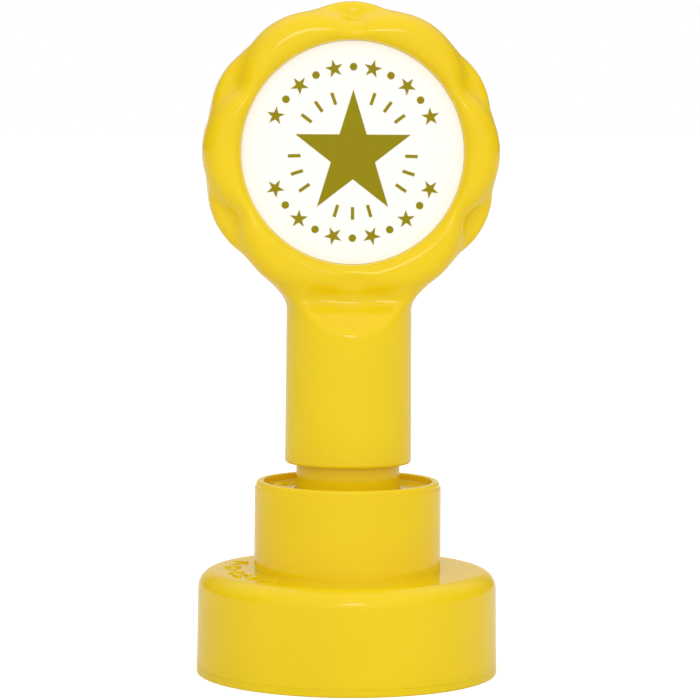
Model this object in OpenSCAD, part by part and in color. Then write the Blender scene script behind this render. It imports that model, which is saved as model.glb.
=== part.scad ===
// Pre-inked hand stamp with a rosette handle, standing on its dust cap.
// Origin: centre of the cap's flat bottom. +Z up, the label faces -Y.
// Pressing the handle slides its stem down over the guide sleeve. The plunger carries the
// inked die down to the paper, and the return spring lifts it again.

/* [Dust cap] */
// Thickness of the cap's flange, which is also the height of the skirt's lower edge
cap_flange_t = 0.9; // [0.8:0.1:1.2]
// Height of the cap's plug wall above the flange
cap_plug_h = 2.9; // [2.4:0.1:3.2]
// Thickness of the cap's plug wall
cap_plug_wall = 1.1; // [0.9:0.1:1.2]

/* [Skirt body] */
// Radius of the base at its lower edge
base_r = 17.15; // [16.8:0.05:17.4]
// Radius of the base just below its rounded top edge
base_top_r = 17.0; // [16.6:0.05:17.2]
// Radius of the rounded top edge of the base
base_edge_r = 2; // [1.2:0.1:2.4]
// Height of the flat shoulder on top of the base
shoulder_z = 11.8; // [11.2:0.1:12.4]
// Radius of the middle step
step_r = 10.62; // [10.4:0.02:11]
// Height of the rim on top of the middle step
rim_z = 22.0; // [21.6:0.1:22.2]
// Depth of the dished recess inside the rim
recess_depth = 0.8; // [0.6:0.1:1]
// Wall thickness of the skirt body
skirt_wall = 1.6; // [1.3:0.1:1.8]

/* [Guide sleeve] */
// Outer radius of the guide sleeve
sleeve_r = 5.9; // [5.7:0.05:6]
// Height of the sleeve's top, inside the stem
sleeve_top_z = 35.4; // [34:0.2:35.6]

/* [Handle] */
// Height of the lower rim of the stem
stem_bottom_z = 24.1; // [23.9:0.1:24.6]
// Radius of the stem at its lower rim
stem_r = 7.2; // [7.1:0.05:7.5]
// Radius of the stem below the rosette
stem_top_r = 7.08; // [7:0.02:7.2]
// Height of the centre of the rosette
rosette_z = 59.45; // [58.5:0.1:61]
// Radius of one petal disc
petal_r = 8.7; // [8.5:0.05:9.2]
// Distance from the rosette's centre to a petal disc's centre
petal_offset = 8.1; // [7.7:0.1:8.3]
// Half of the rosette's thickness
rosette_half_t = 5.35; // [5:0.05:6]
// Radius of the round label
label_r = 12.5; // [12:0.1:12.6]

/* [Mechanism] */
// How far the handle is pressed to bring the die to the paper
press_travel = 2.1; // [1.8:0.1:2.2]
// Radius of the plunger rod
rod_r = 2.6; // [2.4:0.1:2.8]
// Outer radius of the return spring
spring_r = 4.5; // [4.3:0.1:4.6]
// Wire diameter of the return spring
spring_wire_d = 0.8; // [0.6:0.1:0.9]
// Number of turns of the return spring
spring_turns = 8; // [6:1:9]
// Radius of the printing face of the die
die_r = 12.4; // [12:0.1:12.4]

/* [Hidden] */

$fn = 96;
petals = 6;
eps = 0.01;
plastic_yellow = "#eed02e";
running_gap = 0.08;

// Skirt body
skirt_bore_r = base_top_r - skirt_wall + 0.1;
shoulder_under_z = shoulder_z - skirt_wall;
step_bore_r = step_r - skirt_wall;
recess_z = rim_z - recess_depth;
recess_r = 9.6;
web_t = 1.3;
web_under_z = recess_z - web_t;
rim_band_r = 10.22;
rim_band_h = 0.65;
rim_edge_r = 0.35;

// Guide sleeve and what holds it
sleeve_flange_t = 1.3;
sleeve_bottom_z = web_under_z - sleeve_flange_t;
sleeve_bore_r = 4.85;
sleeve_floor_z = web_under_z + 0.1;
key_w = 1.5;
key_depth = 0.45;
clip_t = 0.8;
washer_t = 0.5;

// Handle
stem_bore_r = sleeve_r + running_gap;
stem_bore_top_z = sleeve_top_z + press_travel + 0.5;
socket_depth = 5.2;
stem_top_z = rosette_z - 12;
stem_slope_z = 39.4;
stem_slope_rise = 6;
petal_edge_r = 2.4;
layer_overlap = 2.2;
upper_petal_extra = 0.15;
lower_petal_extra = 0.45;
rosette_outer_r = petal_offset + petal_r + lower_petal_extra;
label_seat_y = 3.3;
label_t = 0.6;
label_recess_r = label_r + 0.06;
rosette_lip_r = 1.5;
head_cavity_r = 11.4;
head_front_web_t = 1.2;
back_cover_t = 1.0;
gusset_r = 2.85;
gusset_half_t = 2.6;
gusset_bite = 0.08;

// Plunger and die, at rest
die_face_z = cap_flange_t + press_travel;
relief_h = 0.5;
die_body_t = 1.1;
die_flange_t = 0.8;
die_flange_r = 13.1;
die_flange_z = die_face_z + relief_h + die_body_t;
pad_z = die_flange_z + die_flange_t;
pad_t = 1.5;
pad_r = 12.3;
holder_r = 13.25;
holder_plate_z = pad_z + pad_t;
holder_plate_t = 1.3;
holder_top_z = holder_plate_z + holder_plate_t;
bezel_r = 13.9;
collar_r = 4.8;
buffer_t = 0.75;
collar_t = 1.2;
collar_top_z = sleeve_bottom_z - 0.05 - buffer_t;
screw_r = 1.1;
screw_head_r = 2.2;
screw_head_t = 0.7;
refill_x = 9;

// Printed motif: a star with short rays, and a garland of small stars and dots
motif_star_r = 7.25;
motif_star_width = 0.94;
motif_star_drop = 0.22;
motif_ray_inner_r = 5.9;
motif_ray_outer_r = 7.3;
motif_ray_w = 0.36;
garland_r = 9.6;
garland_step = 13;
garland_reach = 65;
garland_star_r = 1.05;
garland_dot_r = 0.42;

// ---------- shared shapes ----------

// A flat ring with a square section
module ring(outer_r, inner_r, height) {
    difference() {
        cylinder(r = outer_r, h = height);
        translate([0, 0, -eps]) cylinder(r = inner_r, h = height + 2 * eps);
    }
}

// Lays a shape built along +Z on its side, so that it faces -Y at the rosette's centre
module facing_front() {
    translate([0, 0, rosette_z]) rotate([90, 0, 0]) children();
}

// The same, facing +Y
module facing_back() {
    translate([0, 0, rosette_z]) rotate([-90, 0, 0]) children();
}

// Half profile of a body of revolution: a straight wall with a rounded top edge
module rounded_wall(bottom_r, top_r, bottom_z, top_z, edge_r) {
    polygon([[0, bottom_z], [bottom_r, bottom_z], [top_r, top_z - edge_r], [0, top_z - edge_r]]);
    translate([0, top_z - edge_r - eps]) square([top_r - edge_r, edge_r + eps]);
    translate([top_r - edge_r, top_z - edge_r]) circle(r = edge_r);
}

// A five-pointed star
module star(outer_r) {
    inner_r = outer_r * sin(18) / sin(54);
    polygon([for (i = [0:9]) let (r = i % 2 == 0 ? outer_r : inner_r)
        [r * cos(90 + 36 * i), r * sin(90 + 36 * i)]]);
}

// The star, its rays and the two garlands, as a flat drawing
module motif() {
    translate([0, -motif_star_drop]) {
        scale([motif_star_width, 1]) star(motif_star_r);
        for (gap = [0:4], k = [-1:1])
            rotate(90 + 36 + 72 * gap + 16.5 * k)
                translate([motif_ray_inner_r, -motif_ray_w / 2])
                    square([motif_ray_outer_r - motif_ray_inner_r, motif_ray_w]);
    }
    for (side = [90, 270], i = [0:10])
        rotate(side - garland_reach + garland_step * i)
            translate([garland_r, 0])
                if (i % 2 == 0) rotate(-90) star(garland_star_r);
                else circle(r = garland_dot_r);
}

// ---------- cap ----------

module dust_cap() {
    plug_r = skirt_bore_r - running_gap;
    pocket_r = plug_r - cap_plug_wall;
    groove_z = cap_flange_t + 1.1;
    color(plastic_yellow)
    difference() {
        union() {
            cylinder(r = base_r, h = cap_flange_t);
            cylinder(r = plug_r, h = cap_flange_t + cap_plug_h);
        }
        translate([0, 0, cap_flange_t - 0.2]) cylinder(r = pocket_r, h = cap_plug_h + 1);
        // groove for the seal
        translate([0, 0, groove_z]) ring(plug_r + 1, plug_r - 0.5, 0.9);
        // thumbnail notch at the back
        translate([-4, base_r - 0.9, cap_flange_t - 0.45]) cube([8, 2, 1]);
    }
}

module cap_seal() {
    seal_outer_r = skirt_bore_r - 0.04;
    color("dimgray")
    translate([0, 0, cap_flange_t + 1.15]) ring(seal_outer_r, skirt_bore_r - running_gap - 0.45, 0.8);
}

// ---------- fixed body ----------

module skirt_body() {
    color(plastic_yellow)
    rotate_extrude()
    difference() {
        union() {
            rounded_wall(base_r, base_top_r, cap_flange_t, shoulder_z, base_edge_r);
            rounded_wall(step_r + 0.05, step_r, shoulder_z - 1, rim_z - rim_band_h, rim_edge_r);
            rounded_wall(rim_band_r, rim_band_r, shoulder_z, rim_z, rim_edge_r);
        }
        square([skirt_bore_r, shoulder_under_z]);
        translate([0, shoulder_under_z - eps])
            square([step_bore_r, web_under_z - shoulder_under_z + eps]);
        square([sleeve_r + running_gap, rim_z + 1]);
        translate([0, recess_z]) square([recess_r, recess_depth + 1]);
    }
}

module guide_sleeve() {
    color(plastic_yellow)
    difference() {
        union() {
            translate([0, 0, sleeve_bottom_z]) cylinder(r = step_bore_r - 0.3, h = sleeve_flange_t);
            translate([0, 0, sleeve_bottom_z]) cylinder(r = sleeve_r, h = sleeve_top_z - sleeve_bottom_z);
        }
        translate([0, 0, sleeve_bottom_z - 1]) cylinder(r = rod_r + running_gap, h = 10);
        translate([0, 0, sleeve_floor_z]) cylinder(r = sleeve_bore_r, h = 20);
        // key groove at the back
        translate([-key_w / 2 - 0.1, sleeve_r - key_depth - 0.1, recess_z + 0.6])
            cube([key_w + 0.2, 2, 20]);
    }
}

// Push-in spring-steel ring that holds the sleeve's flange up against the web
module sleeve_clip() {
    clip_r = step_bore_r - 0.02;
    slots = 8;
    color("silver")
    translate([0, 0, sleeve_bottom_z - clip_t])
    difference() {
        ring(clip_r, 6.6, clip_t);
        for (i = [0:slots - 1])
            rotate(360 / slots * i) translate([7.8, -0.4, -1]) cube([3, 0.8, 3]);
    }
}

module lower_spring_washer() {
    color("silver") translate([0, 0, sleeve_floor_z]) ring(spring_r + 0.15, rod_r + 0.2, washer_t);
}

// ---------- return spring ----------

spring_z0 = sleeve_floor_z + washer_t;
spring_z1 = stem_bore_top_z - washer_t;
spring_mean_r = spring_r - spring_wire_d / 2;
coil_steps = 18;
wire_sides = 8;
end_turns = 1;

// Height of the wire's centre after a number of turns: closed end coils, even pitch between
function coil_z(turn) =
    let (low = spring_z0 + spring_wire_d / 2, high = spring_z1 - spring_wire_d / 2,
         lift = spring_wire_d * 1.04,
         middle = spring_turns - 2 * end_turns)
    turn <= end_turns ? low + lift * turn / end_turns
    : turn >= spring_turns - end_turns
        ? high - lift * (spring_turns - turn) / end_turns
        : low + lift + (high - low - 2 * lift) * (turn - end_turns) / middle;

function wire_point(turn, side) =
    let (r = spring_mean_r + spring_wire_d / 2 * cos(360 * side / wire_sides),
         z = coil_z(turn) + spring_wire_d / 2 * sin(360 * side / wire_sides))
    [r * cos(360 * turn), r * sin(360 * turn), z];

module return_spring() {
    rings = spring_turns * coil_steps;
    points = [for (i = [0:rings], s = [0:wire_sides - 1]) wire_point(i / coil_steps, s)];
    walls = [for (i = [0:rings - 1], s = [0:wire_sides - 1])
        let (a = i * wire_sides + s, b = i * wire_sides + (s + 1) % wire_sides)
        [a, a + wire_sides, b + wire_sides, b]];
    start_cap = [for (s = [0:wire_sides - 1]) s];
    end_cap = [for (s = [wire_sides - 1:-1:0]) rings * wire_sides + s];
    color("silver") polyhedron(points, concat(walls, [start_cap, end_cap]));
}

// ---------- handle ----------

// Distance of a petal's centre from the rosette's centre: the lower petals reach out further
function petal_reach(angle) =
    petal_offset + (sin(angle) < 0 ? lower_petal_extra : upper_petal_extra * sin(angle));

// Outline of a layer of six petals, the first at the given angle
module petal_outline(first_angle) {
    for (i = [0:petals - 1]) {
        angle = first_angle + 360 / petals * i;
        rotate(angle) translate([petal_reach(angle), 0]) circle(r = petal_r);
    }
}

// One layer of petals, from just behind the rosette's middle plane towards +Z, its front edge rounded
module petal_layer(first_angle) {
    intersection() {
        translate([0, 0, -layer_overlap])
            linear_extrude(rosette_half_t + layer_overlap + 1) petal_outline(first_angle);
        rotate_extrude()
            rounded_wall(rosette_outer_r, rosette_outer_r, -layer_overlap, rosette_half_t, petal_edge_r);
    }
}

// What is cut from each side of the rosette: the recess, and the rounded lip around it
module face_cut() {
    lip_centre = [label_recess_r + rosette_lip_r - 0.02, rosette_half_t - rosette_lip_r + 0.08];
    translate([0, 0, label_seat_y]) cylinder(r = label_recess_r, h = 5);
    rotate_extrude()
    difference() {
        translate([0, lip_centre[1]]) square([lip_centre[0], 4]);
        translate(lip_centre) circle(r = rosette_lip_r);
    }
}

// Slope at 45 degrees, cut into the top of the stem on its front, up to the rosette
module stem_slope_cut() {
    reach = 5;
    translate([-10, 0, 0]) rotate([90, 0, 90]) linear_extrude(20)
        polygon([[-stem_top_r, stem_slope_z],
                 [-stem_top_r + stem_slope_rise, stem_slope_z + stem_slope_rise],
                 [-stem_top_r - reach, stem_slope_z + stem_slope_rise],
                 [-stem_top_r - reach, stem_slope_z]]);
}

// Rounded corner between the stem's side and the lowest front petal
module gusset() {
    petal_x = petal_reach(300) * cos(300);
    petal_z = rosette_z + petal_reach(300) * sin(300);
    reach = petal_r + gusset_r - gusset_bite;
    centre_x = stem_top_r + gusset_r - gusset_bite;
    drop = sqrt(pow(reach, 2) - pow(centre_x - petal_x, 2));
    centre_z = petal_z - drop;
    touch_x = petal_x + (centre_x - petal_x) * petal_r / reach;
    touch_z = petal_z - drop * petal_r / reach;
    translate([0, gusset_half_t, 0]) rotate([90, 0, 0]) linear_extrude(2 * gusset_half_t)
    difference() {
        polygon([[4, centre_z], [centre_x, centre_z], [touch_x, touch_z], [4, touch_z + 2]]);
        translate([centre_x, centre_z]) circle(r = gusset_r);
    }
}

module stem() {
    difference() {
        translate([0, 0, stem_bottom_z])
            cylinder(r1 = stem_r, r2 = stem_top_r, h = stem_top_z - stem_bottom_z);
        stem_slope_cut();
        mirror([0, 1, 0]) stem_slope_cut();
    }
}

module handle() {
    cavity_depth = label_seat_y - head_front_web_t;
    cover_seat_y = label_seat_y - 0.4;
    color(plastic_yellow)
    difference() {
        union() {
            facing_front() petal_layer(0);
            facing_back() petal_layer(30);
            stem();
            gusset();
            mirror([1, 0, 0]) gusset();
        }
        facing_front() face_cut();
        facing_back() translate([0, 0, cover_seat_y]) cylinder(r = label_recess_r, h = 5);
        facing_back() face_cut();
        // hollow of the head, closed at the back by its cover
        facing_back() translate([0, 0, -cavity_depth]) cylinder(r = head_cavity_r, h = cavity_depth + 5);
        // bore over the guide sleeve, and the socket for the plunger
        difference() {
            translate([0, 0, stem_bottom_z - 1])
                cylinder(r = stem_bore_r, h = stem_bore_top_z - stem_bottom_z + 1);
            translate([-key_w / 2, stem_bore_r - key_depth - 0.1, stem_bottom_z + 0.5])
                cube([key_w, 2, stem_bore_top_z]);
        }
        translate([0, 0, stem_bore_top_z - 1]) cylinder(r = rod_r + 0.02, h = socket_depth + 1);
    }
}

module back_cover() {
    cover_seat_y = label_seat_y - 0.4;
    color(plastic_yellow)
    facing_back() {
        translate([0, 0, cover_seat_y]) cylinder(r = label_recess_r - 0.08, h = back_cover_t);
        translate([0, 0, cover_seat_y - 1.5]) ring(head_cavity_r - 0.05, head_cavity_r - 0.65, 1.5 + eps);
    }
}

module label_disc() {
    color("white") facing_front() translate([0, 0, label_seat_y]) cylinder(r = label_r, h = label_t);
}

module label_print() {
    ink_t = 0.05;
    color("#968a0f")
    facing_front() translate([0, 0, label_seat_y + label_t]) linear_extrude(ink_t) motif();
}

module upper_spring_washer() {
    color("silver")
    translate([0, 0, spring_z1]) ring(spring_r + 0.2, rod_r + 0.2, washer_t);
}

// ---------- plunger and die ----------

module plunger() {
    foot_t = 1.2;
    foot_r = 4.2;
    color("ivory")
    difference() {
        union() {
            translate([0, 0, holder_top_z])
                cylinder(r = rod_r, h = stem_bore_top_z + socket_depth - 0.2 - holder_top_z);
            translate([0, 0, holder_top_z]) cylinder(r = foot_r, h = foot_t);
            translate([0, 0, collar_top_z - collar_t]) cylinder(r = collar_r, h = collar_t);
        }
        translate([0, 0, holder_top_z - 1]) cylinder(r = screw_r, h = 8);
    }
}

module stop_buffer() {
    color("dimgray") translate([0, 0, collar_top_z]) ring(collar_r, rod_r + 0.05, buffer_t);
}

module die_holder() {
    wall_z = pad_z;
    color("#2b2b2e")
    difference() {
        translate([0, 0, wall_z]) cylinder(r = holder_r, h = holder_top_z - wall_z);
        translate([0, 0, wall_z - 1]) cylinder(r = pad_r + 0.1, h = pad_t + 1);
        translate([0, 0, holder_plate_z - 1]) cylinder(r = screw_head_r + 0.15, h = 1 + screw_head_t);
        translate([0, 0, holder_plate_z]) cylinder(r = screw_r + 0.1, h = 5);
        for (side = [-1, 1])
            translate([side * refill_x, 0, holder_plate_z - 1]) cylinder(r = 1.05, h = 5);
    }
}

module holder_screw() {
    slot_w = 0.5;
    color("silver")
    difference() {
        union() {
            translate([0, 0, holder_plate_z]) cylinder(r = screw_head_r, h = screw_head_t);
            translate([0, 0, holder_plate_z]) cylinder(r = screw_r, h = 7.5);
        }
        translate([-screw_head_r, -slot_w / 2, holder_plate_z - 1])
            cube([2 * screw_head_r, slot_w, 1.3]);
        translate([-slot_w / 2, -screw_head_r, holder_plate_z - 1])
            cube([slot_w, 2 * screw_head_r, 1.3]);
    }
}

// Two small plugs that close the holes for fresh ink
module refill_plugs() {
    color("dimgray")
    for (side = [-1, 1])
        translate([side * refill_x, 0, holder_plate_z + 0.1]) {
            cylinder(r = 1, h = holder_plate_t);
            translate([0, 0, holder_plate_t - 0.1]) cylinder(r = 1.5, h = 0.5);
        }
}

module ink_pad() {
    color("#5b5320") translate([0, 0, pad_z]) cylinder(r = pad_r, h = pad_t);
}

module stamp_die() {
    color("#4a4a40") {
        translate([0, 0, die_face_z + relief_h]) cylinder(r = die_r, h = die_body_t);
        translate([0, 0, die_flange_z]) cylinder(r = die_flange_r, h = die_flange_t);
        translate([0, 0, die_face_z]) linear_extrude(relief_h + eps) motif();
    }
}

// Snap-on bezel that holds the die against the ink pad
module die_retaining_ring() {
    lip_t = 0.65;
    lip_z = die_flange_z - lip_t;
    color("#2b2b2e")
    translate([0, 0, lip_z])
    difference() {
        cylinder(r = bezel_r, h = holder_top_z - 0.8 - lip_z);
        translate([0, 0, -1]) cylinder(r = die_r + 0.15, h = 5);
        translate([0, 0, lip_t]) cylinder(r = holder_r + 0.05, h = 10);
    }
}

// ---------- assembly ----------

dust_cap();
cap_seal();
skirt_body();
guide_sleeve();
sleeve_clip();
lower_spring_washer();
return_spring();
upper_spring_washer();
handle();
back_cover();
label_disc();
label_print();
plunger();
stop_buffer();
die_holder();
holder_screw();
refill_plugs();
ink_pad();
stamp_die();
die_retaining_ring();
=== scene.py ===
"""Pre-inked hand stamp with a rosette handle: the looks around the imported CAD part."""
import math

import bmesh
import bpy
import numpy as np
from mathutils import Matrix, Vector


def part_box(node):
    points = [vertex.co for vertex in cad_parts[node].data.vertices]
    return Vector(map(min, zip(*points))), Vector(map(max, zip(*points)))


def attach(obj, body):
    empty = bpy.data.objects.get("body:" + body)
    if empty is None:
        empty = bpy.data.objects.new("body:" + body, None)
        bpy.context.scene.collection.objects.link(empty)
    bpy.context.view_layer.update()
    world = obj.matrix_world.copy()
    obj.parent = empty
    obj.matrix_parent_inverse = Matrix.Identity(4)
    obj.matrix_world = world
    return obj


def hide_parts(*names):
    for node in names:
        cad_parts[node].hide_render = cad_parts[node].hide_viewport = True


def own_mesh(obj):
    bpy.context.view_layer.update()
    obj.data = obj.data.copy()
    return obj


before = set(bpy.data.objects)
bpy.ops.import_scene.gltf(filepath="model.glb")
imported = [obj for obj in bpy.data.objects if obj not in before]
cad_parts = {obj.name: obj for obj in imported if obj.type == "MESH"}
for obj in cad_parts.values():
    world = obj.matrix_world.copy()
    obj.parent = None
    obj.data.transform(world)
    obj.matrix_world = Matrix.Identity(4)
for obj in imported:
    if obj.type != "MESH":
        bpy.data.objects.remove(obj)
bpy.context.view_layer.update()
MM = 0.001


# ---------- places, in millimetres, read from the CAD ----------

def box_mm(node):
    """Lowest and highest corner of a CAD node, in millimetres."""
    low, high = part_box(node)
    return np.array(low) / MM, np.array(high) / MM


def outer_r(node):
    """Outer radius of a round CAD node, in millimetres."""
    low, high = box_mm(node)
    return max(high[0] - low[0], high[1] - low[1]) / 2


def z_low(node):
    return box_mm(node)[0][2]


def z_high(node):
    return box_mm(node)[1][2]


def centre_mm(node):
    low, high = box_mm(node)
    return (low + high) / 2


# ---------- the photograph's view ----------

CAMERA_AT = (0.000137, -0.3792, 0.06727)
CAMERA_YAW = -4.5
CAMERA_PITCH = 4.575
CAMERA_ROLL = 0.421
FOCAL_PX = 3342.0
PICTURE_PX = 700.0
SENSOR_MM = 36.0


# ---------- mesh helpers ----------

FINE = 192


def rounded(corners, steps=6):
    """Closed outline from corners (x, y, radius): each corner with a radius becomes an arc."""
    out = []
    count = len(corners)
    for i, (x, y, radius) in enumerate(corners):
        here = np.array([x, y])
        before = np.array(corners[i - 1][:2]) - here
        after = np.array(corners[(i + 1) % count][:2]) - here
        if radius <= 0:
            out.append((x, y))
            continue
        a = before / np.linalg.norm(before)
        b = after / np.linalg.norm(after)
        half = math.acos(float(np.clip(a @ b, -1, 1))) / 2
        reach = radius / math.tan(half)
        limit = 0.499 * min(np.linalg.norm(before), np.linalg.norm(after))
        if reach > limit:
            radius *= limit / reach
            reach = limit
        middle = (a + b) / np.linalg.norm(a + b)
        centre = here + middle * radius / math.sin(half)
        start = here + a * reach - centre
        end = here + b * reach - centre
        angle0 = math.atan2(start[1], start[0])
        turn = math.atan2(end[1], end[0]) - angle0
        turn = (turn + math.pi) % (2 * math.pi) - math.pi
        for k in range(steps + 1):
            t = angle0 + turn * k / steps
            out.append((centre[0] + radius * math.cos(t), centre[1] + radius * math.sin(t)))
    return out


def new_object(name, points, faces):
    """A mesh object from points in millimetres."""
    mesh = bpy.data.meshes.new(name)
    mesh.from_pydata([tuple(float(c) * MM for c in p) for p in points], [], faces)
    made = bpy.data.objects.new(name, mesh)
    bpy.context.scene.collection.objects.link(made)
    tidy(made)
    return made


def tidy(made, sharp=40):
    """Outward normals, smooth faces, and sharp edges above an angle."""
    bm = bmesh.new()
    bm.from_mesh(made.data)
    bmesh.ops.remove_doubles(bm, verts=bm.verts, dist=1e-7)
    bmesh.ops.recalc_face_normals(bm, faces=bm.faces)
    bm.to_mesh(made.data)
    bm.free()
    made.data.shade_smooth()
    made.data.set_sharp_from_angle(angle=math.radians(sharp))


def weighted(made):
    """Flat faces keep their own normal beside a small rounding."""
    mod = made.modifiers.new("weighted", "WEIGHTED_NORMAL")
    mod.mode = "FACE_AREA_WITH_ANGLE"
    mod.keep_sharp = True


def lathe(name, corners, centre=(0, 0, 0), axis="Z", segments=FINE, steps=6):
    """A closed body of revolution from corners (radius, height, rounding)."""
    outline = rounded(corners, steps)
    points, faces, rows = [], [], []
    for r, h in outline:
        if r < 1e-6:
            rows.append([len(points)] * segments)
            points.append((0, 0, h))
            continue
        rows.append(list(range(len(points), len(points) + segments)))
        for k in range(segments):
            t = 2 * math.pi * k / segments
            points.append((r * math.cos(t), r * math.sin(t), h))
    for i in range(len(rows)):
        a, b = rows[i], rows[(i + 1) % len(rows)]
        for k in range(segments):
            n = (k + 1) % segments
            ring = [a[k], a[n], b[n], b[k]]
            face = [v for j, v in enumerate(ring) if v != ring[j - 1]]
            if len(set(face)) >= 3:
                faces.append(face)
    if axis == "front":
        points = [(x, -z, y) for x, y, z in points]
    if axis == "back":
        points = [(-x, z, y) for x, y, z in points]
    points = [tuple(np.array(p) + np.array(centre)) for p in points]
    made = new_object(name, points, faces)
    weighted(made)
    return made


def cut(made, cutter):
    """Takes one closed mesh out of another, and removes the cutter."""
    mod = made.modifiers.new("cut", "BOOLEAN")
    mod.object = cutter
    mod.solver = "EXACT"
    replaced = [m.name for m in made.modifiers if m.type == "WEIGHTED_NORMAL"]
    for name in replaced:
        made.modifiers.remove(made.modifiers[name])
    depsgraph = bpy.context.evaluated_depsgraph_get()
    depsgraph.update()
    done = bpy.data.meshes.new_from_object(made.evaluated_get(depsgraph))
    made.modifiers.clear()
    made.data = done
    bpy.data.objects.remove(cutter)
    tidy(made)
    weighted(made)


def block(low, high):
    """A plain block, used only to cut with."""
    xs, ys, zs = zip(low, high)
    corners = [(x, y, z) for x in xs for y in ys for z in zs]
    faces = [(0, 1, 3, 2), (4, 6, 7, 5), (0, 4, 5, 1), (2, 3, 7, 6), (0, 2, 6, 4), (1, 5, 7, 3)]
    return new_object("cutter", corners, faces)


# ---------- materials ----------

def material(name):
    made = bpy.data.materials.new(name)
    made.use_nodes = True
    tree = made.node_tree
    shader = tree.nodes["Principled BSDF"]
    return made, tree, shader


def noise(tree, scale, detail=3.0, stretch=(1, 1, 1)):
    """A noise texture in object space. Its scale is in cycles per metre."""
    place = tree.nodes.new("ShaderNodeTexCoord")
    mapping = tree.nodes.new("ShaderNodeMapping")
    mapping.inputs["Scale"].default_value = stretch
    texture = tree.nodes.new("ShaderNodeTexNoise")
    texture.inputs["Scale"].default_value = scale
    texture.inputs["Detail"].default_value = detail
    tree.links.new(place.outputs["Object"], mapping.inputs["Vector"])
    tree.links.new(mapping.outputs["Vector"], texture.inputs["Vector"])
    return texture.outputs["Fac"]


def ramp(tree, value, low, high, start=0.35, end=0.65):
    """Maps a value between two colours or two numbers."""
    numbers = isinstance(low, float)
    made = tree.nodes.new("ShaderNodeMapRange" if numbers else "ShaderNodeValToRGB")
    if numbers:
        made.inputs["From Min"].default_value = start
        made.inputs["From Max"].default_value = end
        made.inputs["To Min"].default_value = low
        made.inputs["To Max"].default_value = high
        tree.links.new(value, made.inputs["Value"])
        return made.outputs["Result"]
    made.color_ramp.elements[0].position = start
    made.color_ramp.elements[1].position = end
    made.color_ramp.elements[0].color = (*low, 1)
    made.color_ramp.elements[1].color = (*high, 1)
    tree.links.new(value, made.inputs["Fac"])
    return made.outputs["Color"]


def bump(tree, shader, value, strength, distance, below=None):
    made = tree.nodes.new("ShaderNodeBump")
    made.inputs["Strength"].default_value = strength
    made.inputs["Distance"].default_value = distance
    tree.links.new(value, made.inputs["Height"])
    if below is not None:
        tree.links.new(below, made.inputs["Normal"])
    tree.links.new(made.outputs["Normal"], shader.inputs["Normal"])
    return made.outputs["Normal"]


def moulded(name, dark, light, smooth, rough, subsurface=0.0, fine=0.06, specular=0.5):
    """Injection-moulded plastic: slow colour drift, uneven gloss, flow waves and fine grain."""
    made, tree, shader = material(name)
    tree.links.new(ramp(tree, noise(tree, 60, 4), dark, light), shader.inputs["Base Color"])
    gloss = ramp(tree, noise(tree, 420, 5), smooth, rough, 0.3, 0.7)
    tree.links.new(gloss, shader.inputs["Roughness"])
    waves = bump(tree, shader, noise(tree, 150, 1, (1, 1, 0.6)), 0.10, 0.0004)
    bump(tree, shader, noise(tree, 2600, 2), fine, 0.00004, waves)
    shader.inputs["IOR"].default_value = 1.49
    shader.inputs["Specular IOR Level"].default_value = specular
    if subsurface > 0:
        shader.inputs["Subsurface Weight"].default_value = subsurface
        shader.inputs["Subsurface Radius"].default_value = (1.0, 0.35, 0.08)
        shader.inputs["Subsurface Scale"].default_value = 0.004
    return made


def steel(name):
    made, tree, shader = material(name)
    shader.inputs["Metallic"].default_value = 1.0
    tone = ramp(tree, noise(tree, 300, 4), (0.50, 0.50, 0.49), (0.66, 0.66, 0.65))
    tree.links.new(tone, shader.inputs["Base Color"])
    tree.links.new(ramp(tree, noise(tree, 900, 4, (1, 1, 8)), 0.22, 0.38), shader.inputs["Roughness"])
    bump(tree, shader, noise(tree, 3000, 2, (1, 1, 10)), 0.15, 0.00002)
    return made


def felt(name):
    made, tree, shader = material(name)
    tone = ramp(tree, noise(tree, 900, 6), (0.03, 0.03, 0.008), (0.16, 0.13, 0.03))
    tree.links.new(tone, shader.inputs["Base Color"])
    tree.links.new(ramp(tree, noise(tree, 1500, 3), 0.55, 0.95), shader.inputs["Roughness"])
    bump(tree, shader, noise(tree, 2500, 6), 0.8, 0.0002)
    return made


def printed(name):
    """Olive ink, a little uneven in density."""
    made, tree, shader = material(name)
    tone = ramp(tree, noise(tree, 1500, 5), (0.286, 0.238, 0.0015), (0.296, 0.247, 0.0022))
    tree.links.new(tone, shader.inputs["Base Color"])
    tree.links.new(ramp(tree, noise(tree, 800, 3), 0.30, 0.42), shader.inputs["Roughness"])
    bump(tree, shader, noise(tree, 5000, 3), 0.08, 0.00002)
    shader.inputs["Specular IOR Level"].default_value = 0.10
    return made


def paper(name):
    """White label stock under a clear film: faint fibre mottle and a soft gloss."""
    made, tree, shader = material(name)
    tone = ramp(tree, noise(tree, 700, 6), (0.985, 0.985, 0.98), (1.0, 1.0, 0.998))
    tree.links.new(tone, shader.inputs["Base Color"])
    tree.links.new(ramp(tree, noise(tree, 260, 4), 0.28, 0.40), shader.inputs["Roughness"])
    bump(tree, shader, noise(tree, 1800, 5), 0.06, 0.00003)
    return made


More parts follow.
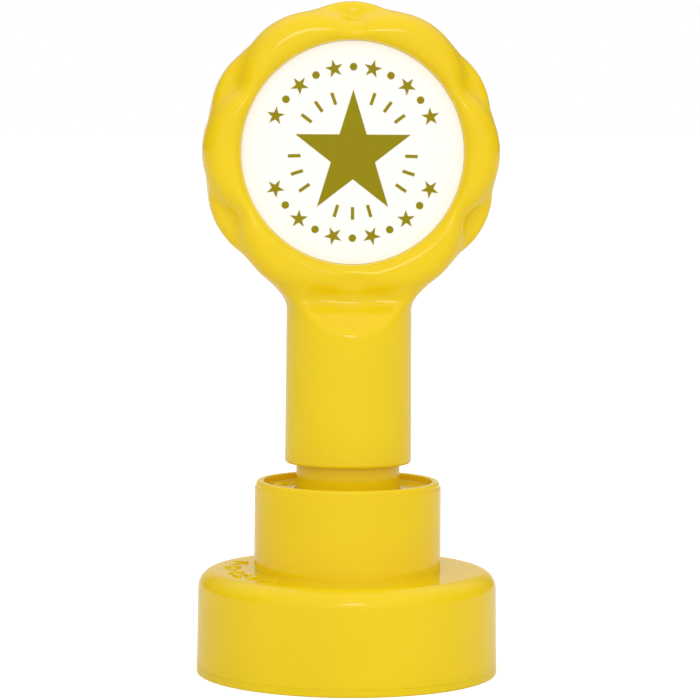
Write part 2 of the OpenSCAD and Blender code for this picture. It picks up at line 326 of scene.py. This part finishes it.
YELLOW = moulded(
    "yellow_plastic", (0.838, 0.604, 0.0055), (0.883, 0.644, 0.0080), 0.08, 0.14, 0.12,
    specular=0.30)
NATURAL = moulded("natural_plastic", (0.62, 0.60, 0.52), (0.72, 0.70, 0.62), 0.25, 0.40, 0.2)
BLACK = moulded("black_plastic", (0.012, 0.012, 0.013), (0.026, 0.026, 0.028), 0.30, 0.45)
RUBBER = moulded("black_rubber", (0.018, 0.018, 0.018), (0.04, 0.04, 0.04), 0.55, 0.8, 0.0, 0.3)
DIE = moulded("die_rubber", (0.055, 0.055, 0.035), (0.10, 0.095, 0.06), 0.45, 0.7, 0.0, 0.25)
STEEL = steel("spring_steel")
FELT = felt("inked_felt")
INK = printed("olive_ink")
LABEL = paper("white_label")
MATERIALS = {
    "yellow_plastic": YELLOW, "natural_plastic": NATURAL, "black_plastic": BLACK,
    "black_rubber": RUBBER, "die_rubber": DIE, "spring_steel": STEEL, "inked_felt": FELT,
    "olive_ink": INK, "white_label": LABEL,
}


def finish_piece(made, body, slot, *replaced):
    made.data.materials.clear()
    made.data.materials.append(MATERIALS[slot])
    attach(made, body)
    if replaced:
        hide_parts(*replaced)
    return made


# ---------- cap ----------

CAP_R = outer_r("skirt_body")
CAP_T = z_low("skirt_body")
PLUG_R = 15.42
PLUG_TOP = z_high("dust_cap")
POCKET_R = PLUG_R - 1.1
POCKET_Z = CAP_T - 0.2
GROOVE_Z = CAP_T + 1.1


def make_cap():
    cap = lathe("dust_cap_moulding", [
        (0, 0, 0), (CAP_R, 0, 0.18), (CAP_R, CAP_T, 0.03), (PLUG_R, CAP_T, 0.08),
        (PLUG_R, GROOVE_Z, 0.06), (PLUG_R - 0.5, GROOVE_Z, 0.06),
        (PLUG_R - 0.5, GROOVE_Z + 0.9, 0.06), (PLUG_R, GROOVE_Z + 0.9, 0.06),
        (PLUG_R, PLUG_TOP, 0.30), (POCKET_R, PLUG_TOP, 0.20), (POCKET_R, POCKET_Z, 0.25),
        (0, POCKET_Z, 0),
    ])
    notch_y = CAP_R - 0.9
    cut(cap, block((-4, notch_y, CAP_T - 0.45), (4, notch_y + 3, CAP_T + 0.5)))
    finish_piece(cap, "cap_unit", "yellow_plastic", "dust_cap")
    seal_low, seal_high = z_low("cap_seal"), z_high("cap_seal")
    seal_r = outer_r("cap_seal")
    seal = lathe("cap_seal_ring", [
        (seal_r - 0.49, seal_low, 0.12), (seal_r, seal_low, 0.30),
        (seal_r, seal_high, 0.30), (seal_r - 0.49, seal_high, 0.12),
    ])
    finish_piece(seal, "cap_unit", "black_rubber", "cap_seal")


# ---------- fixed body ----------

BASE_TOP_R = 17.0
BASE_EDGE_R = 2.0
SHOULDER_Z = 11.8
STEP_R = 10.62
RIM_Z = z_high("skirt_body")
BAND_R = 10.46
BAND_Z = RIM_Z - 0.65
RECESS_R = 9.6
RECESS_Z = RIM_Z - 0.8
SLEEVE_R = 5.9
BORE_R = SLEEVE_R + 0.08
WEB_UNDER_Z = RECESS_Z - 1.3
STEP_BORE_R = 9.02
SKIRT_BORE_R = 15.5
UNDER_Z = SHOULDER_Z - 1.6


def make_skirt():
    skirt = lathe("skirt_moulding", [
        (SKIRT_BORE_R, CAP_T, 0.20), (CAP_R, CAP_T, 0.03),
        (BASE_TOP_R, SHOULDER_Z, BASE_EDGE_R), (STEP_R + 0.04, SHOULDER_Z, 0.06),
        (STEP_R, BAND_Z, 0.38), (BAND_R, BAND_Z, 0.25), (BAND_R, RIM_Z, 0.34),
        (RECESS_R, RIM_Z, 0.14), (RECESS_R, RECESS_Z, 0.15), (BORE_R, RECESS_Z, 0.12),
        (BORE_R, WEB_UNDER_Z, 0.05), (STEP_BORE_R, WEB_UNDER_Z, 0.3),
        (STEP_BORE_R, UNDER_Z, 0.3), (SKIRT_BORE_R, UNDER_Z, 0.5),
    ], steps=8)
    finish_piece(skirt, "skirt_unit", "yellow_plastic", "skirt_body")


MARK_H = 0.22
MARK_HALF_W = 0.30
MARK_BEVEL = 0.05
MARK_ROOT = 0.1
# each mark: angle seen in the photograph, radius, length outwards, length along the arc
SHOULDER_MARKS = (
    (160, 13.1, 1.2, 0.0), (169, 13.1, 0.0, 0.5), (178, 13.1, 1.2, 0.0), (187, 13.1, 0.0, 0.9),
    (197, 13.1, 1.2, 0.0), (207, 12.6, 0.0, 0.9), (207, 13.9, 0.0, 0.9), (217, 13.1, 1.2, 0.0),
    (229, 13.4, 0.0, 2.2),
)
RECESS_MARKS = ((164, 8.1, 0.6, 0.0), (178, 8.1, 0.0, 0.5), (192, 8.1, 0.6, 0.0))


def make_marks(name, places, low_z):
    """Plain raised bars in an arc where the moulding has its small raised marks."""
    points, faces = [], []
    sides = 24
    for angle, r, radial, along_arc in places:
        t = math.radians(angle + CAMERA_YAW)
        for level, corner_r in (
                (-MARK_ROOT, MARK_HALF_W), (MARK_H - MARK_BEVEL, MARK_HALF_W),
                (MARK_H, MARK_HALF_W - MARK_BEVEL)):
            for k in range(sides):
                a = 2 * math.pi * k / sides
                out = math.copysign(radial / 2, math.cos(a)) + corner_r * math.cos(a)
                along = math.copysign(along_arc / 2, math.sin(a)) + corner_r * math.sin(a)
                x = (r + out) * math.cos(t) - along * math.sin(t)
                y = (r + out) * math.sin(t) + along * math.cos(t)
                points.append((x, y, low_z + level))
        first = len(points) - 3 * sides
        for ring in (0, sides):
            for k in range(sides):
                n = (k + 1) % sides
                low = first + ring
                faces.append((low + k, low + n, low + sides + n, low + sides + k))
        faces.append(tuple(first + 2 * sides + k for k in range(sides)))
        faces.append(tuple(first + k for k in reversed(range(sides))))
    marks = new_object(name, points, faces)
    finish_piece(marks, "skirt_unit", "yellow_plastic")


def make_sleeve():
    low, high = z_low("guide_sleeve"), z_high("guide_sleeve")
    flange_r = STEP_BORE_R - 0.3
    inner_r, rod_hole_r = 4.85, 2.68
    floor_z = WEB_UNDER_Z + 0.1
    sleeve = lathe("guide_sleeve_tube", [
        (rod_hole_r, low, 0.1), (flange_r, low, 0.15), (flange_r, low + 1.3, 0.15),
        (SLEEVE_R, low + 1.3, 0.1), (SLEEVE_R, high, 0.25), (inner_r, high, 0.15),
        (inner_r, floor_z, 0.2), (rod_hole_r, floor_z, 0.1),
    ])
    groove = 0.85
    cut(sleeve, block((-groove, SLEEVE_R - 0.55, RECESS_Z + 0.6), (groove, SLEEVE_R + 2, high + 1)))
    finish_piece(sleeve, "skirt_unit", "yellow_plastic", "guide_sleeve")


def make_washer(name, node, body):
    low, high = z_low(node), z_high(node)
    r = outer_r(node)
    washer = lathe(name, [(2.8, low, 0.06), (r, low, 0.12), (r, high, 0.12), (2.8, high, 0.06)])
    finish_piece(washer, body, "spring_steel", node)


def make_clip():
    low, high = z_low("sleeve_clip"), z_high("sleeve_clip")
    r = outer_r("sleeve_clip")
    clip = lathe("sleeve_clip_ring", [
        (6.6, low, 0.08), (r, low, 0.12), (r, high, 0.12), (6.6, high, 0.08),
    ])
    for k in range(8):
        slot = block((7.8, -0.4, low - 1), (11, 0.4, high + 1))
        slot.data.transform(Matrix.Rotation(math.pi / 4 * k, 4, "Z"))
        cut(clip, slot)
    finish_piece(clip, "skirt_unit", "spring_steel", "sleeve_clip")


def make_spring():
    low, high = z_low("return_spring"), z_high("return_spring")
    wire_r = 0.4
    mean_r = outer_r("return_spring") - wire_r
    turns, end_turns, sides, steps = 8, 1, 12, 48
    start, stop = low + wire_r, high - wire_r
    lift = 2 * wire_r * 1.04
    rings = turns * steps

    def height(turn):
        if turn <= end_turns:
            return start + lift * turn / end_turns
        if turn >= turns - end_turns:
            return stop - lift * (turns - turn) / end_turns
        middle = turns - 2 * end_turns
        return start + lift + (stop - start - 2 * lift) * (turn - end_turns) / middle

    points, faces = [], []
    for i in range(rings + 1):
        turn = i / steps
        t = 2 * math.pi * turn
        for s in range(sides):
            a = 2 * math.pi * s / sides
            r = mean_r + wire_r * math.cos(a)
            z = height(turn) + wire_r * math.sin(a)
            points.append((r * math.cos(t), r * math.sin(t), z))
    for i in range(rings):
        for s in range(sides):
            a, b = i * sides + s, i * sides + (s + 1) % sides
            faces.append((a, a + sides, b + sides, b))
    faces.append(tuple(range(sides)))
    faces.append(tuple(rings * sides + s for s in reversed(range(sides))))
    spring = new_object("return_spring_wire", points, faces)
    finish_piece(spring, "skirt_unit", "spring_steel", "return_spring")
    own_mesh(spring)


# ---------- handle ----------

ROSETTE_Z = 59.45
PETAL_R = 8.7
PETAL_OFFSET = 8.1
UPPER_PETAL_EXTRA = 0.15
LOWER_PETAL_EXTRA = 0.45
HALF_T = 5.35
LAYER_OVERLAP = 2.5
FRONT_EDGE_DEPTH = 3.1
FRONT_EDGE_WIDTH = 2.3
MIDDLE_EDGE_R = 1.2
PETAL_BLEND = 0.9
OUTLINE_BLEND = 0.35
FACE_BLEND = 1.4
CHIN_OFFSET = 7.7
CHIN_HALF_T = 4.9
CHIN_EDGE_R = 1.9
CHIN_BLEND = 0.8
LABEL_SEAT_W = 3.3
BACK_SEAT_W = -2.9
RECESS_LIP_R = 1.35
FACE_RECESS_R = 12.56
STEM_LOW_Z = z_low("handle")
STEM_R, STEM_TOP_R, STEM_TOP_Z = 7.2, 7.08, 47.45
STEM_BORE_R, STEM_BORE_Z = 5.98, 38.0
SOCKET_R, SOCKET_Z = 2.62, 43.2
SLOPE_Z, SLOPE_EDGE_R = 39.4, 0.4
GUSSET_R, FRONT_BLEND_R = 2.85, 1.5
STEM_RIM_R = 0.30
BLEND_START_X, BLEND_SPAN_X = 2.0, 5.0
BLEND_START_W, BLEND_SPAN_W = 1.0, 1.5
CELL = 0.25
SMOOTH_ROUNDS = 5


def soft_min(a, b, k):
    """Union with a rounded inside corner of radius k."""
    u = np.maximum(k - a, 0)
    v = np.maximum(k - b, 0)
    return np.maximum(k, np.minimum(a, b)) - np.hypot(u, v)


def round_max(a, b, k):
    """Intersection with a rounded outside edge of radius k."""
    u = np.maximum(k + a, 0)
    v = np.maximum(k + b, 0)
    return np.minimum(-k, np.maximum(a, b)) + np.hypot(u, v)


def blend_min(a, b, k):
    """Union with a smooth valley about k wide."""
    h = np.clip(0.5 + 0.5 * (b - a) / k, 0, 1)
    return b * (1 - h) + a * h - k * h * (1 - h)


def petals(u, v, w, first_angle):
    """Distance to a layer of six petals, its front edge rounded as a quarter of an ellipse."""
    found = None
    narrow = FRONT_EDGE_DEPTH / FRONT_EDGE_WIDTH
    for i in range(6):
        t = math.radians(first_angle + 60 * i)
        lower = math.sin(t) < -0.1
        reach = PETAL_OFFSET + (LOWER_PETAL_EXTRA if lower else UPPER_PETAL_EXTRA * math.sin(t))
        d = np.hypot(u - reach * math.cos(t), v - reach * math.sin(t)) - PETAL_R
        one = round_max(d * narrow, w - HALF_T, FRONT_EDGE_DEPTH)
        found = one if found is None else blend_min(found, one, PETAL_BLEND)
    return round_max(found, -LAYER_OVERLAP - w, MIDDLE_EDGE_R)


def handle_distance(p):
    """Signed distance to the handle, in millimetres, for an array of points."""
    x, y, z = p[..., 0], p[..., 1], p[..., 2]
    u, v, w = x, z - ROSETTE_Z, -y
    front = petals(u, v, w, 0)
    back = petals(u, v, -w, 30)
    depth = np.clip((np.abs(w) - BLEND_START_W) / BLEND_SPAN_W, 0, 1)
    depth = depth * depth * (3 - 2 * depth)
    head = blend_min(front, back, OUTLINE_BLEND + (FACE_BLEND - OUTLINE_BLEND) * depth)
    chin = round_max(
        np.hypot(u, v + CHIN_OFFSET) - PETAL_R, np.abs(w) - CHIN_HALF_T, CHIN_EDGE_R)
    head = blend_min(head, chin, CHIN_BLEND)
    r = np.hypot(u, v)
    front_cut = np.maximum(r - FACE_RECESS_R, LABEL_SEAT_W - w)
    back_cut = np.maximum(r - FACE_RECESS_R, w - BACK_SEAT_W)
    share = np.clip((z - STEM_LOW_Z) / (STEM_TOP_Z - STEM_LOW_Z), 0, 1)
    s = np.hypot(x, y)
    stem = s - (STEM_R + (STEM_TOP_R - STEM_R) * share)
    stem = np.maximum(stem, z - STEM_TOP_Z)
    for side in (w, -w):
        slope = (side - STEM_TOP_R + z - SLOPE_Z) * math.sqrt(0.5)
        stem = round_max(stem, slope, SLOPE_EDGE_R)
    stem = round_max(stem, STEM_LOW_Z - z, STEM_RIM_R)
    outward = np.clip((np.abs(x) - BLEND_START_X) / BLEND_SPAN_X, 0, 1)
    outward = outward * outward * (3 - 2 * outward)
    body = soft_min(head, stem, FRONT_BLEND_R + (GUSSET_R - FRONT_BLEND_R) * outward)
    body = round_max(body, -front_cut, RECESS_LIP_R)
    body = round_max(body, -back_cut, RECESS_LIP_R)
    bore = np.maximum(s - STEM_BORE_R, z - STEM_BORE_Z)
    socket = np.maximum(s - SOCKET_R, z - SOCKET_Z)
    body = round_max(body, -bore, 0.2)
    return np.maximum(body, -socket)


def gradient(distance, p, step=0.01):
    out = np.empty_like(p)
    for axis in range(3):
        shift = np.zeros(3)
        shift[axis] = step
        out[..., axis] = (distance(p + shift) - distance(p - shift)) / (2 * step)
    return out


def surface_mesh(distance, low, high, cell):
    """Surface nets: one point in each cell that the surface crosses, then drawn on to the surface."""
    axes = [np.arange(low[i], high[i] + cell, cell) for i in range(3)]
    grid = np.stack(np.meshgrid(*axes, indexing="ij"), -1)
    f = np.concatenate([distance(g) for g in np.array_split(grid, 16)])
    inside = f < 0
    total = np.zeros([n - 1 for n in f.shape] + [3])
    hits = np.zeros([n - 1 for n in f.shape])
    size = np.array(f.shape) - 1
    crossings = []
    for axis in range(3):
        a = [slice(None)] * 3
        b = [slice(None)] * 3
        a[axis] = slice(None, -1)
        b[axis] = slice(1, None)
        fa, fb = f[tuple(a)], f[tuple(b)]
        cross = inside[tuple(a)] != inside[tuple(b)]
        where = np.argwhere(cross)
        t = fa[cross] / (fa[cross] - fb[cross])
        at = grid[tuple(a)][cross].copy()
        at[:, axis] += t * cell
        others = [i for i in range(3) if i != axis]
        for da in (0, 1):
            for db in (0, 1):
                index = where.copy()
                index[:, others[0]] -= da
                index[:, others[1]] -= db
                fine = np.all((index >= 0) & (index < size), axis=1)
                key = tuple(index[fine].T)
                np.add.at(total, key, at[fine])
                np.add.at(hits, key, 1)
        crossings.append((axis, where, inside[tuple(a)][cross]))
    used = hits > 0
    points = total[used] / hits[used][:, None]
    number = np.full(hits.shape, -1)
    number[used] = np.arange(len(points))
    quads = []
    for axis, where, starts_inside in crossings:
        b, c = [i for i in range(3) if i != axis]
        if axis == 1:
            starts_inside = ~starts_inside
        corner = []
        for db, dc in ((0, 0), (1, 0), (1, 1), (0, 1)):
            index = where.copy()
            index[:, b] -= db
            index[:, c] -= dc
            corner.append(number[tuple(index.T)])
        quad = np.stack(corner, 1)
        quad[starts_inside] = quad[starts_inside][:, ::-1]
        quads.append(quad)
    quads = np.concatenate(quads)
    for _ in range(SMOOTH_ROUNDS):
        pull = np.zeros_like(points)
        count = np.zeros(len(points))
        for k in range(4):
            a, b = quads[:, k], quads[:, (k + 1) % 4]
            np.add.at(pull, a, points[b])
            np.add.at(count, a, 1)
            np.add.at(pull, b, points[a])
            np.add.at(count, b, 1)
        points = points + 0.5 * (pull / count[:, None] - points)
        for _ in range(2):
            g = gradient(distance, points)
            length = np.maximum((g * g).sum(1, keepdims=True), 0.25)
            points = points - distance(points)[:, None] * g / length
    return points, quads


def make_handle():
    reach = PETAL_OFFSET + PETAL_R + 0.6
    points, quads = surface_mesh(
        handle_distance,
        (-reach, -HALF_T - 2.3, STEM_LOW_Z - 0.37), (reach, HALF_T + 2.3, ROSETTE_Z + reach), CELL)
    mesh = bpy.data.meshes.new("rosette_handle")
    mesh.from_pydata((points * MM).tolist(), [], quads.tolist())
    handle = bpy.data.objects.new("rosette_handle", mesh)
    bpy.context.scene.collection.objects.link(handle)
    tidy(handle, 60)
    finish_piece(handle, "press_unit", "yellow_plastic", "handle")


def make_back_cover():
    low, high = box_mm("back_cover")
    middle = centre_mm("back_cover")
    r = (high[0] - low[0]) / 2
    cover = lathe("rosette_back_cover", [
        (0, low[1], 0), (r - 1.3, low[1], 0.1), (r - 1.3, low[1] + 1.4, 0.1),
        (r, low[1] + 1.5, 0.1), (r, high[1], 0.25), (r - 2.2, high[1], 0.3),
        (r - 2.4, high[1] - 0.25, 0.3), (0, high[1] - 0.25, 0),
    ], centre=(middle[0], 0, middle[2]), axis="back")
    finish_piece(cover, "press_unit", "yellow_plastic", "back_cover")


def make_label():
    low, high = box_mm("label_disc")
    middle = centre_mm("label_disc")
    r = FACE_RECESS_R - 0.01
    label = lathe("label_face", [
        (0, -high[1], 0), (r, -high[1], 0.05), (r, -low[1], 0.03), (0, -low[1], 0),
    ], centre=(middle[0], 0, middle[2]), axis="front")
    finish_piece(label, "press_unit", "white_label", "label_disc")


# ---------- plunger and die ----------

def make_plunger():
    low, high = z_low("plunger"), z_high("plunger")
    rod_r, foot_r, collar_r = 2.6, 4.2, outer_r("plunger")
    collar_z = z_low("stop_buffer")
    plunger = lathe("plunger_rod", [
        (1.1, low, 0.05), (foot_r, low, 0.15), (foot_r, low + 1.2, 0.25), (rod_r, low + 1.2, 0.3),
        (rod_r, collar_z - 1.2, 0.3), (collar_r, collar_z - 1.2, 0.25), (collar_r, collar_z, 0.12),
        (rod_r, collar_z, 0.08), (rod_r, high, 0.4), (0, high, 0), (0, low + 7, 0),
        (1.1, low + 7, 0.1),
    ])
    finish_piece(plunger, "press_unit", "natural_plastic", "plunger")
    buffer_low, buffer_high = z_low("stop_buffer"), z_high("stop_buffer")
    buffer = lathe("stop_buffer_ring", [
        (2.65, buffer_low, 0.1), (collar_r, buffer_low, 0.2),
        (collar_r, buffer_high, 0.25), (2.65, buffer_high, 0.15),
    ])
    finish_piece(buffer, "press_unit", "black_rubber", "stop_buffer")


REFILL_X = 9


def make_die():
    low, high = z_low("die_holder"), z_high("die_holder")
    plate_z = z_high("ink_pad")
    holder_r = outer_r("die_holder")
    holder = lathe("die_holder_plate", [
        (12.4, low, 0.1), (holder_r, low, 0.15), (holder_r, high, 0.25),
        (1.2, high, 0.08), (1.2, plate_z + 0.7, 0.05), (2.35, plate_z + 0.7, 0.05),
        (2.35, plate_z, 0.05), (12.4, plate_z, 0.15),
    ])
    for side in (-1, 1):
        hole = lathe("hole", [
            (0, plate_z - 1, 0), (1.05, plate_z - 1, 0), (1.05, high + 1, 0), (0, high + 1, 0),
        ], centre=(REFILL_X * side, 0, 0), segments=48)
        hole.modifiers.clear()
        cut(holder, hole)
    finish_piece(holder, "press_unit", "black_plastic", "die_holder")
    bezel_low, bezel_high = z_low("die_retaining_ring"), z_high("die_retaining_ring")
    bezel_r = outer_r("die_retaining_ring")
    bezel = lathe("die_retaining_bezel", [
        (12.55, bezel_low, 0.15), (bezel_r, bezel_low, 0.25), (bezel_r, bezel_high, 0.12),
        (13.3, bezel_high, 0.08), (13.3, bezel_low + 0.65, 0.08), (12.55, bezel_low + 0.65, 0.08),
    ])
    finish_piece(bezel, "press_unit", "black_plastic", "die_retaining_ring")
    pad_low, pad_high = z_low("ink_pad"), z_high("ink_pad")
    pad_r = outer_r("ink_pad")
    pad = lathe("ink_pad_felt", [
        (0, pad_low, 0), (pad_r, pad_low, 0.2), (pad_r, pad_high, 0.2), (0, pad_high, 0),
    ])
    finish_piece(pad, "press_unit", "inked_felt", "ink_pad")


CAD_KEPT = {
    "label_print": "olive_ink",
    "holder_screw": "spring_steel",
    "refill_plugs": "black_rubber",
    "stamp_die": "die_rubber",
}


def keep_cad():
    """CAD nodes whose shape is right get the finished material."""
    for node, slot in CAD_KEPT.items():
        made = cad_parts[node]
        made.data.materials.clear()
        made.data.materials.append(MATERIALS[slot])
        made.data.polygons.foreach_set("material_index", [0] * len(made.data.polygons))


# ---------- studio ----------

FLOOR_LIFT = 0.50


def make_floor():
    """White paper floor, lifted for camera rays only, so it lights the object less than it shows."""
    radius, sides = 4000.0, 64
    points = [(0, 0, 0)]
    for k in range(sides):
        t = 2 * math.pi * k / sides
        points.append((radius * math.cos(t), radius * math.sin(t), 0))
    faces = [(0, k + 1, (k + 1) % sides + 1) for k in range(sides)]
    floor = new_object("studio_floor", points, faces)
    made, tree, shader = material("studio_paper")
    tone = ramp(tree, noise(tree, 40, 3), (0.83, 0.83, 0.83), (0.85, 0.85, 0.85))
    tree.links.new(tone, shader.inputs["Base Color"])
    shader.inputs["Roughness"].default_value = 0.9
    shader.inputs["Specular IOR Level"].default_value = 0.0
    shader.inputs["Emission Color"].default_value = (1, 1, 1, 1)
    path = tree.nodes.new("ShaderNodeLightPath")
    lift = tree.nodes.new("ShaderNodeMath")
    lift.operation = "MULTIPLY"
    lift.inputs[1].default_value = FLOOR_LIFT
    tree.links.new(path.outputs["Is Camera Ray"], lift.inputs[0])
    tree.links.new(lift.outputs["Value"], shader.inputs["Emission Strength"])
    floor.data.materials.append(made)


# the studio's light by direction: from the front, the side, obliquely behind, behind, and above
FRONT_TONE = (1.16, 1.15, 1.13, 1)
SIDE_TONE = (0.38, 0.31, 0.18, 1)
OBLIQUE_TONE = (0.36, 0.28, 0.13, 1)
BEHIND_TONE = (0.80, 0.68, 0.52, 1)
ABOVE_TONE = (1.15, 1.12, 1.06, 1)


def make_world():
    """Soft studio light; camera rays that miss everything get plain white."""
    world = bpy.data.worlds.new("studio")
    bpy.context.scene.world = world
    world.use_nodes = True
    tree = world.node_tree
    back = tree.nodes["Background"]
    place = tree.nodes.new("ShaderNodeTexCoord")
    split = tree.nodes.new("ShaderNodeSeparateXYZ")
    tree.links.new(place.outputs["Generated"], split.inputs["Vector"])
    tone = tree.nodes.new("ShaderNodeValToRGB")
    stops = tone.color_ramp
    stops.interpolation = "EASE"
    stops.elements[0].position = 0.0
    stops.elements[0].color = FRONT_TONE
    stops.elements[1].position = 1.0
    stops.elements[1].color = BEHIND_TONE
    side = stops.elements.new(0.5)
    side.color = SIDE_TONE
    oblique = stops.elements.new(0.93)
    oblique.color = OBLIQUE_TONE
    shift = tree.nodes.new("ShaderNodeMapRange")
    shift.inputs["From Min"].default_value = -1.0
    shift.inputs["From Max"].default_value = 1.0
    tree.links.new(split.outputs["Y"], shift.inputs["Value"])
    tree.links.new(shift.outputs["Result"], tone.inputs["Fac"])
    height = tree.nodes.new("ShaderNodeMapRange")
    height.interpolation_type = "SMOOTHSTEP"
    height.inputs["From Min"].default_value = 0.25
    height.inputs["From Max"].default_value = 0.9
    tree.links.new(split.outputs["Z"], height.inputs["Value"])
    above = tree.nodes.new("ShaderNodeMixRGB")
    above.inputs["Color2"].default_value = ABOVE_TONE
    tree.links.new(height.outputs["Result"], above.inputs["Fac"])
    tree.links.new(tone.outputs["Color"], above.inputs["Color1"])
    path = tree.nodes.new("ShaderNodeLightPath")
    seen = tree.nodes.new("ShaderNodeMixRGB")
    seen.inputs["Color2"].default_value = (1, 1, 1, 1)
    tree.links.new(path.outputs["Is Camera Ray"], seen.inputs["Fac"])
    tree.links.new(above.outputs["Color"], seen.inputs["Color1"])
    tree.links.new(seen.outputs["Color"], back.inputs["Color"])
    back.inputs["Strength"].default_value = 1.0


def area_light(name, place, target, size, power):
    data = bpy.data.lights.new(name, "AREA")
    data.shape = "ELLIPSE"
    data.size = size[0]
    data.size_y = size[1]
    data.energy = power
    made = bpy.data.objects.new(name, data)
    bpy.context.scene.collection.objects.link(made)
    made.location = Vector(place)
    made.rotation_mode = "QUATERNION"
    made.rotation_quaternion = (Vector(target) - Vector(place)).to_track_quat("-Z", "Y")


def make_camera():
    data = bpy.data.cameras.new("camera")
    data.sensor_width = SENSOR_MM
    data.lens = SENSOR_MM * FOCAL_PX / PICTURE_PX
    data.clip_start = 0.01
    data.clip_end = 20
    camera = bpy.data.objects.new("camera", data)
    bpy.context.scene.collection.objects.link(camera)
    tilt = Matrix.Rotation(math.radians(90 - CAMERA_PITCH), 4, "X")
    roll = Matrix.Rotation(math.radians(CAMERA_ROLL), 4, "Z")
    round_object = Matrix.Rotation(math.radians(CAMERA_YAW), 4, "Z")
    camera.matrix_world = round_object @ Matrix.Translation(CAMERA_AT) @ tilt @ roll
    bpy.context.scene.camera = camera


bpy.context.scene.view_settings.view_transform = "Standard"
bpy.context.scene.view_settings.look = "None"

make_camera()
make_world()
make_floor()
area_light("front_softbox", (0.0, -0.50, 0.205), (0, 0, 0.04), (0.17, 0.16), 0.32)
make_cap()
make_skirt()
make_marks("shoulder_marks", SHOULDER_MARKS, SHOULDER_Z)
make_marks("recess_marks", RECESS_MARKS, RECESS_Z)
make_sleeve()
make_clip()
make_washer("lower_washer", "lower_spring_washer", "skirt_unit")
make_washer("upper_washer", "upper_spring_washer", "press_unit")
make_spring()
make_handle()
make_back_cover()
make_label()
make_plunger()
make_die()
keep_cad()
